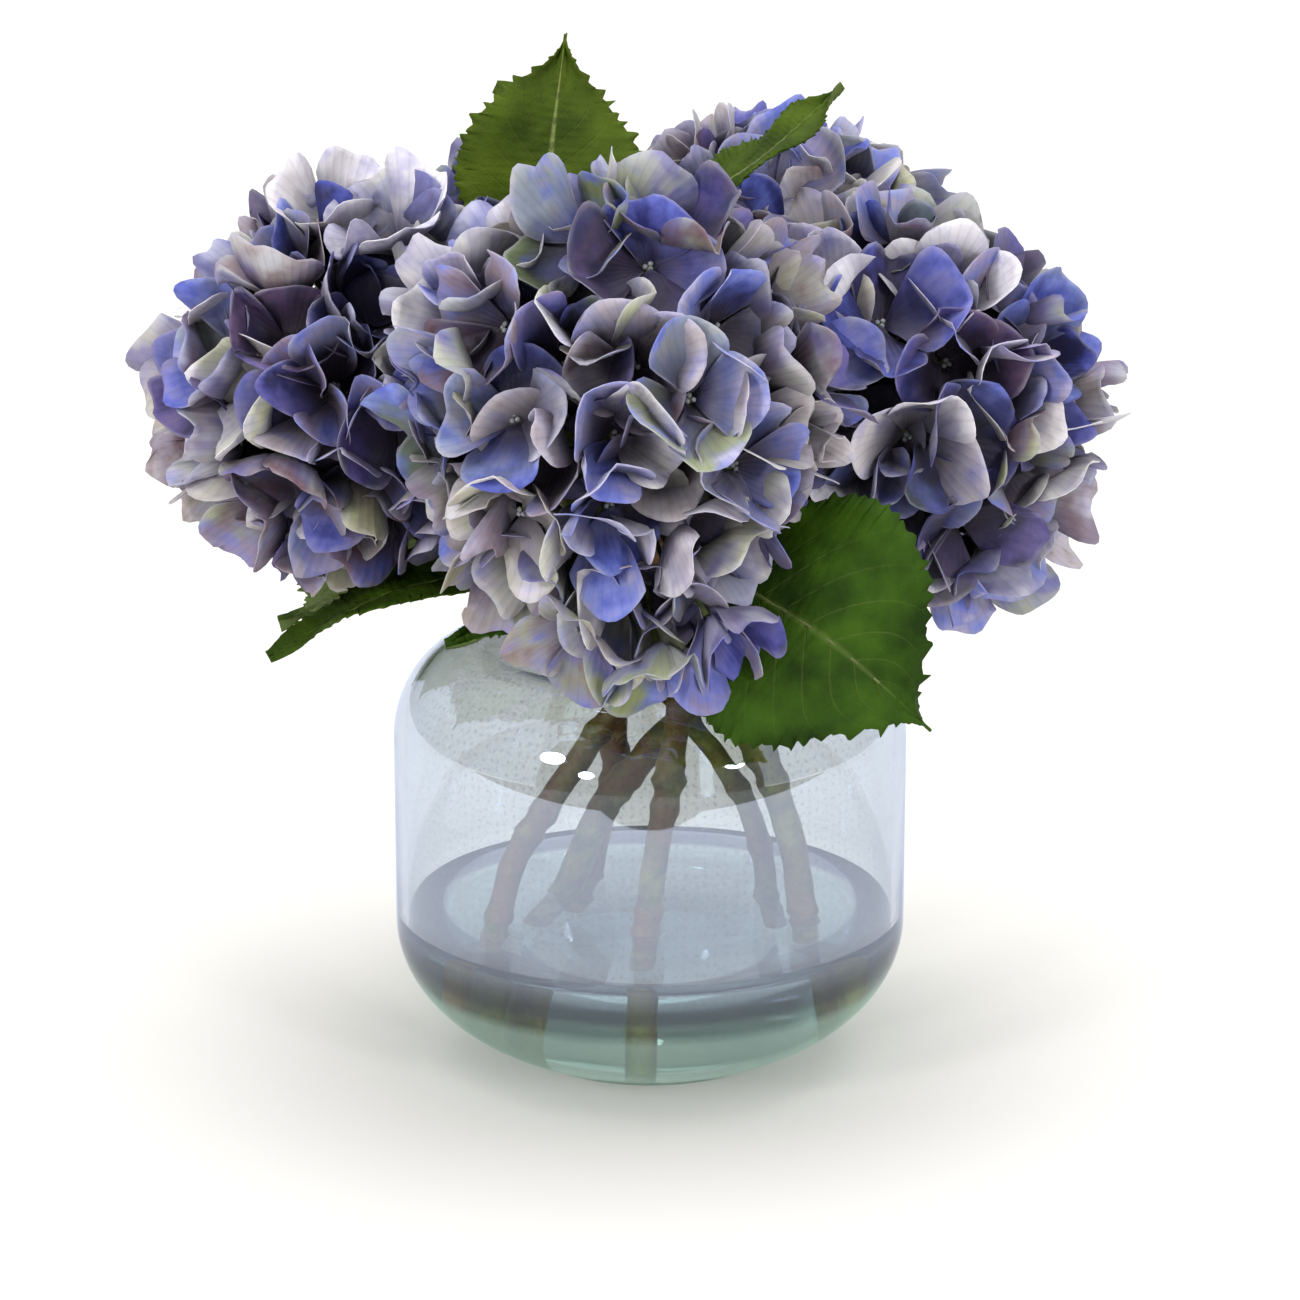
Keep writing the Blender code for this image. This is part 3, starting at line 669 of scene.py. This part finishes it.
def add_petal(bm, layers, petal, tint):
    """One petal: a square grid rounded to a broad oval and pressed into shape."""
    uv_layer, tint_layer, shade_layer = layers
    centre, radius, _ = HEADS[petal.floret.head]
    made = bmesh.ops.create_grid(bm, x_segments=PETAL_COLUMNS, y_segments=PETAL_ROWS, size=1)
    for vert in made["verts"]:
        vert.co, edge, share, across = petal.surface(vert.co.x, vert.co.y)
        vert[tint_layer] = (*tint, math.atan2(across, petal.length * share + 0.004))
        # Painted shade: the deeper the point lies inside the head, the darker it is painted.
        deep = (radius - (vert.co - centre).length - SHADE_START) / SHADE_RANGE
        vert[shade_layer] = min(0.9, max(0.0, deep) ** 1.3)
        for loop in vert.link_loops:
            loop[uv_layer].uv = (edge, share)


def floret_tint(floret, pick):
    """Dye of a floret: how pale, how mossy and how dusty, drifting over the bunch."""
    place = floret.place
    drift = noise.noise(place * 13)
    # Florets towards the left of the bunch are a little paler, and those low on the left get extra mauve,
    # which makes that part darker.
    left = min(1.0, max(0.0, (-0.02 - place.x) / 0.12))
    low = min(1.0, max(0.0, (0.26 - place.z) / 0.08))
    hue = 0.56 + 0.04 * left + 0.30 * drift + pick.gauss(0, 0.26)
    moss = pick.gauss(0.14, 0.34) + 1.3 * max(0.0, noise.noise(place * 15 + UP * 7))
    blush = pick.gauss(0.16, 0.26) + 0.75 * left * low + 0.80 * max(0.0, noise.noise(place * 17 - UP * 5))
    return hue, moss, blush


# How much the petals of one floret differ in paleness, moss and dust.
PETAL_SPREAD = (0.13, 0.22, 0.14)


def closed_unit(value):
    return min(1.0, max(0.0, value))


def make_florets(florets, cloth, back, bead):
    clusters = {}
    for floret in florets:
        clusters.setdefault((floret.head, floret.cluster), []).append(floret)
    for (head, cluster), members in sorted(clusters.items()):
        label = f"{head}_{'crown' if cluster == 0 else cluster}"
        pick = random.Random("petals " + label)
        bm = bmesh.new()
        layers = (bm.loops.layers.uv.new("UVMap"), bm.verts.layers.float_color.new("petal_tint"),
                  bm.verts.layers.float.new("petal_painted_shade"))
        for floret in members:
            dye = floret_tint(floret, pick)
            turn = pick.uniform(0, math.tau)
            for k in range(PETALS_PER_FLORET):
                angle = turn + k * math.tau / PETALS_PER_FLORET + pick.gauss(0, 0.14)
                tint = [closed_unit(value + pick.gauss(0, spread))
                        for value, spread in zip(dye, PETAL_SPREAD)]
                add_petal(bm, layers, Petal(floret, angle, pick), tint)
        mesh = bpy.data.meshes.new("florets_" + label)
        bm.to_mesh(mesh)
        bm.free()
        mesh.shade_smooth()
        obj = piece(mesh.name, mesh, "petals", ["cluster_" + label], cloth, back)
        thick = obj.modifiers.new("cloth", "SOLIDIFY")
        thick.thickness = PETAL_CLOTH
        thick.offset = -1
        thick.material_offset = 1
        thick.use_quality_normals = True
        make_beads(label, members, bead)


def make_beads(label, florets, bead):
    """Three small buds in the throat of each floret."""
    ring, height, size = 0.0011, 0.0016, 0.0010
    bm = bmesh.new()
    for floret in florets:
        for angle in (0.0, 2.1, 4.2):
            local = Vector((ring * math.cos(angle), ring * math.sin(angle), height))
            place = Matrix.Translation(floret.place + floret.basis @ local)
            bmesh.ops.create_icosphere(bm, subdivisions=1, radius=size, matrix=place)
    mesh = bpy.data.meshes.new("beads_" + label)
    bm.to_mesh(mesh)
    bm.free()
    mesh.shade_smooth()
    piece(mesh.name, mesh, "petals", [], bead)


def make_sprays(florets, stalk):
    """Under each head, the hub forks into rays, and each ray into one fine stalk for each floret."""
    for head in HEADS:
        centre, radius, _ = HEADS[head]
        hub, axis = hub_place(head), head_axis(HEADS[head][0])
        rods = [([hub - axis * 0.002, hub + axis * 0.004, hub + axis * 0.012], [0.0050, 0.0056, 0.0040])]
        for index, direction in enumerate(cluster_directions(head)):
            fork = hub.lerp(centre + direction * radius * 0.42, 0.75)
            path = smooth_path([hub + axis * 0.003, hub.lerp(fork, 0.5) + axis * 0.004, fork], 8)
            rods.append((path, [0.0026 - 0.0008 * i / 8 for i in range(9)]))
            for floret in florets:
                if floret.head == head and floret.cluster == index:
                    end = floret.place - floret.facing * 0.0005
                    middle = fork.lerp(end, 0.55) - floret.facing * 0.003
                    radii = [0.0011, 0.0009, 0.0008, 0.0008, 0.0008, 0.0009, 0.0014]
                    rods.append((smooth_path([fork, middle, end], 6), radii))
        mesh = rods_mesh("stalks_" + head, rods, 1)
        piece("stalks_" + head, mesh, "flower_stalks", ["spray_" + head], stalk)


# ---------------------------------------------------------------- leaves

# Blade width, upper face's direction, stalk root, blade base, midway point, tip, and how olive it is.
LEAVES = {
    "leaf_front_right": (0.086, (0.12, -0.95, 0.28), (0.030, -0.020, 0.176), (0.0240, -0.0875, 0.1900),
                         (0.0560, -0.1090, 0.1750), (0.0880, -0.1130, 0.1470), 0.0),
    "leaf_lower_left": (0.043, (-0.30, -0.10, 0.95), (-0.040, -0.010, 0.182), (-0.050, -0.020, 0.175),
                        (-0.088, -0.030, 0.168), (-0.126, -0.036, 0.149), 0.3),
    "leaf_front_left": (0.034, (-0.10, -0.45, 0.90), (0.002, -0.034, 0.172), (-0.016, -0.044, 0.170),
                        (-0.040, -0.057, 0.170), (-0.066, -0.067, 0.162), 0.0),
    "leaf_top_left": (0.060, (0.05, -0.93, 0.35), (-0.0075, 0.0125, 0.2500), (-0.034, 0.012, 0.272),
                      (-0.033, 0.017, 0.305), (-0.028, 0.030, 0.345), 0.8),
    "leaf_top_right": (0.027, (-0.62, -0.30, 0.72), (0.0000, 0.0125, 0.2460), (0.022, 0.013, 0.296),
                       (0.040, 0.018, 0.308), (0.064, 0.030, 0.328), 0.6),
    "leaf_top_back": (0.048, (-0.20, 0.50, 0.85), (-0.0062, 0.0163, 0.2510), (-0.014, 0.033, 0.292),
                      (-0.031, 0.050, 0.313), (-0.053, 0.073, 0.321), 0.7),
    "leaf_back_middle": (0.070, (0.00, 0.90, 0.45), (-0.012, 0.0350, 0.1660), (-0.008, 0.062, 0.171),
                         (-0.006, 0.098, 0.162), (0.004, 0.122, 0.132), 0.2),
    "leaf_back_left": (0.062, (-0.55, 0.45, 0.75), (-0.026, 0.0430, 0.1710), (-0.062, 0.045, 0.161),
                       (-0.096, 0.062, 0.153), (-0.124, 0.080, 0.130), 0.2),
    "leaf_back_right": (0.064, (0.60, 0.40, 0.70), (0.034, 0.0400, 0.1780), (0.060, 0.056, 0.168),
                        (0.092, 0.078, 0.156), (0.118, 0.100, 0.135), 0.2),
    "leaf_left_side": (0.048, (-0.30, 0.60, 0.75), (-0.036, 0.0040, 0.1820), (-0.056, 0.020, 0.169),
                       (-0.094, 0.026, 0.158), (-0.128, 0.032, 0.142), 0.1),
}
LEAF_ROWS, LEAF_COLUMNS = 152, 16
TEETH = 19


def leaf_half_width(share):
    """Half the blade's width, as a share of its widest: heart-round base, long drawn-out tip."""
    if not 0 < share < 1:
        return 0.010
    return max(0.010, math.sin(math.pi * share ** 0.70) ** (0.60 + 1.15 * share))


def leaf_point(x, share, half, pick_phase):
    """Across, forward and lift of a blade point: teeth on the rim, sunk veins and a soft wave."""
    turn = share * TEETH + 0.35 * math.sin(share * 23 + pick_phase)
    tooth = turn % 1.0
    grown = (1 - tooth) / 0.72 if tooth > 0.28 else tooth / 0.28
    size = (0.75 + 0.5 * math.sin(math.floor(turn) * 2.3 + pick_phase) ** 2) * min(1.0, half / 0.010)
    rim = abs(x) ** 9
    across = x * half + math.copysign(0.0044 * (grown - 0.45) * rim * size, x)
    forward = rim * grown * 0.0030 * size
    row = (share - VEIN_SLOPE * abs(x)) * VEIN_PAIRS
    dip = math.exp(-((row - math.floor(row) - 0.5) / 0.12) ** 2) * (1 - abs(x))
    lift = abs(across) * 0.16 - 0.0008 * dip
    lift += 0.0030 * math.sin(share * 9 + pick_phase + 2.0 * x) * abs(x) ** 1.5
    lift += 0.0040 * noise.noise(Vector((share * 3.5, x * 1.5, pick_phase))) * abs(x)
    return across, forward, lift


def make_leaf(name, shape, cloth, back, stalk):
    width, face, root, base, middle, tip, olive = shape
    face = Vector(face).normalized()
    root, base, middle, tip = (Vector(p) for p in (root, base, middle, tip))
    path = smooth_path([base, middle, tip], LEAF_ROWS)
    phase = random.Random(name).uniform(0, math.tau)
    bm = bmesh.new()
    uv_layer = bm.loops.layers.uv.new("UVMap")
    tint_layer = bm.verts.layers.float.new("leaf_tint")
    made = bmesh.ops.create_grid(bm, x_segments=LEAF_COLUMNS, y_segments=LEAF_ROWS, size=1)
    for vert in made["verts"]:
        x, y = vert.co.x, vert.co.y
        share = (y + 1) / 2
        i = min(LEAF_ROWS, max(0, round(share * LEAF_ROWS)))
        along = (path[min(i + 1, LEAF_ROWS)] - path[max(i - 1, 0)]).normalized()
        up = (face - along * face.dot(along)).normalized()
        across, forward, lift = leaf_point(x, share, width / 2 * leaf_half_width(share), phase)
        vert.co = path[i] + along * forward + along.cross(up) * across + up * lift
        vert[tint_layer] = olive
        for loop in vert.link_loops:
            loop[uv_layer].uv = ((x + 1) / 2, share)
    mesh = bpy.data.meshes.new("blade_" + name)
    bm.to_mesh(mesh)
    bm.free()
    mesh.shade_smooth()
    obj = piece("blade_" + name, mesh, "leaf", [name], cloth, back)
    thick = obj.modifiers.new("cloth", "SOLIDIFY")
    thick.thickness = 0.0005
    thick.offset = 0
    thick.material_offset = 1
    last = int(LEAF_ROWS * 0.75)
    rib = [path[i] - face * 0.0004 for i in range(0, last + 1, 8)]
    points = smooth_path([root, root.lerp(base, 0.5) + UP * 0.002, base], 14) + rib[1:]
    radii = [0.0013 - 0.0008 * i / (len(points) - 1) for i in range(len(points))]
    piece("stalk_" + name, rods_mesh("stalk_" + name, [(points, radii)], 2), "leaf", [], stalk)


# ---------------------------------------------------------------- studio


CAMERA_PLACE = (0, -1.4426, 0.5518)
CAMERA_TARGET = (0, 0, 0.1409)
CAMERA_LENS = 122.9
# Lamps: place, what it points at, width and power.
LAMPS = {
    "front_left": ((-1.35, -1.3, 1.05), (0, 0, 0.20), 0.40, 13),
    "front_right": ((1.2, -1.5, 0.97), (0, 0, 0.18), 0.34, 11),
    "front_low": ((-0.85, -1.6, 0.60), (0, 0, 0.15), 0.22, 3),
}
# Light from the whole ceiling: its spread in degrees, its strength and its direction.
CEILING_SPREAD = 60
CEILING_POWER = 2.3
CEILING_WAY = (-0.03, -0.10, -1)
ROOM_LIGHT = 0.64


def stage_card(name, corners, material):
    """A flat card of paper that is part of the studio."""
    bm = bmesh.new()
    bm.faces.new([bm.verts.new(corner) for corner in corners])
    mesh = bpy.data.meshes.new(name)
    bm.to_mesh(mesh)
    bm.free()
    mesh.materials.append(material)
    card = bpy.data.objects.new(name, mesh)
    bpy.context.collection.objects.link(card)
    return card


def make_studio():
    floor_paper = studio_paper("white_paper", "e4e2de", "e7e5e1")
    drop = -0.0002
    stage_card("paper_floor", [(-6, -6, drop), (6, -6, drop), (6, 6, drop), (-6, 6, drop)], floor_paper)
    # Dark cards stand in for the unlit room beyond the table. Only the gloss of the glass shows them.
    dark_paper = studio_paper("dark_paper", "6c6c68", "747470")
    cards = {
        "flag_floor": [(-3, -2.5, 0.001), (3, -2.5, 0.001), (3, -0.43, 0.001), (-3, -0.43, 0.001)],
        "flag_wall": [(-3, -2.5, 0.001), (3, -2.5, 0.001), (3, -2.5, 4), (-3, -2.5, 4)],
    }
    for name, corners in cards.items():
        flag = stage_card(name, corners, dark_paper)
        flag.visible_camera = flag.visible_diffuse = flag.visible_shadow = flag.visible_transmission = False
    world = bpy.data.worlds.new("studio")
    world.use_nodes = True
    world.node_tree.nodes["Background"].inputs["Color"].default_value = (1, 1, 1, 1)
    world.node_tree.nodes["Background"].inputs["Strength"].default_value = ROOM_LIGHT
    bpy.context.scene.world = world
    for name, (place, target, size, power) in LAMPS.items():
        light = bpy.data.lights.new(name, "AREA")
        light.shape = "DISK"
        light.size = size
        light.energy = power
        obj = bpy.data.objects.new(name, light)
        obj.location = place
        obj.rotation_euler = (Vector(target) - Vector(place)).to_track_quat("-Z", "Y").to_euler()
        bpy.context.collection.objects.link(obj)
    sky = bpy.data.lights.new("ceiling_bank", "SUN")
    sky.angle = math.radians(CEILING_SPREAD)
    sky.energy = CEILING_POWER
    obj = bpy.data.objects.new("ceiling_bank", sky)
    obj.rotation_euler = Vector(CEILING_WAY).to_track_quat("-Z", "Y").to_euler()
    bpy.context.collection.objects.link(obj)
    camera = bpy.data.cameras.new("camera")
    camera.lens = CAMERA_LENS
    camera.sensor_width = 36
    obj = bpy.data.objects.new("camera", camera)
    obj.location = CAMERA_PLACE
    obj.rotation_euler = (Vector(CAMERA_TARGET) - obj.location).to_track_quat("-Z", "Y").to_euler()
    bpy.context.collection.objects.link(obj)
    bpy.context.scene.camera = obj
    bpy.context.scene.view_settings.view_transform = "Standard"


def main():
    cloth, back = petal_cloth("petal_face", False), petal_cloth("petal_back", True)
    bead = painted_plastic("bead_paint", "6c7068", "9699a0", 900.0, 0.5)
    stalk = painted_plastic("stalk_paint", "4d5a26", "6d783c", 200.0, 0.55)
    florets = [floret for head in HEADS for floret in head_florets(head)]
    set_walls(florets)
    make_florets(florets, cloth, back, bead)
    make_sprays(florets, stalk)
    leaf, leaf_back = leaf_cloth("leaf_face", False), leaf_cloth("leaf_back", True)
    for name, shape in LEAVES.items():
        make_leaf(name, shape, leaf, leaf_back, stalk)
    make_stems(stem_bark())
    make_vase(blown_glass("lustre_glass", True), blown_glass("inner_glass", False))
    make_water(still_water())
    make_studio()


main()
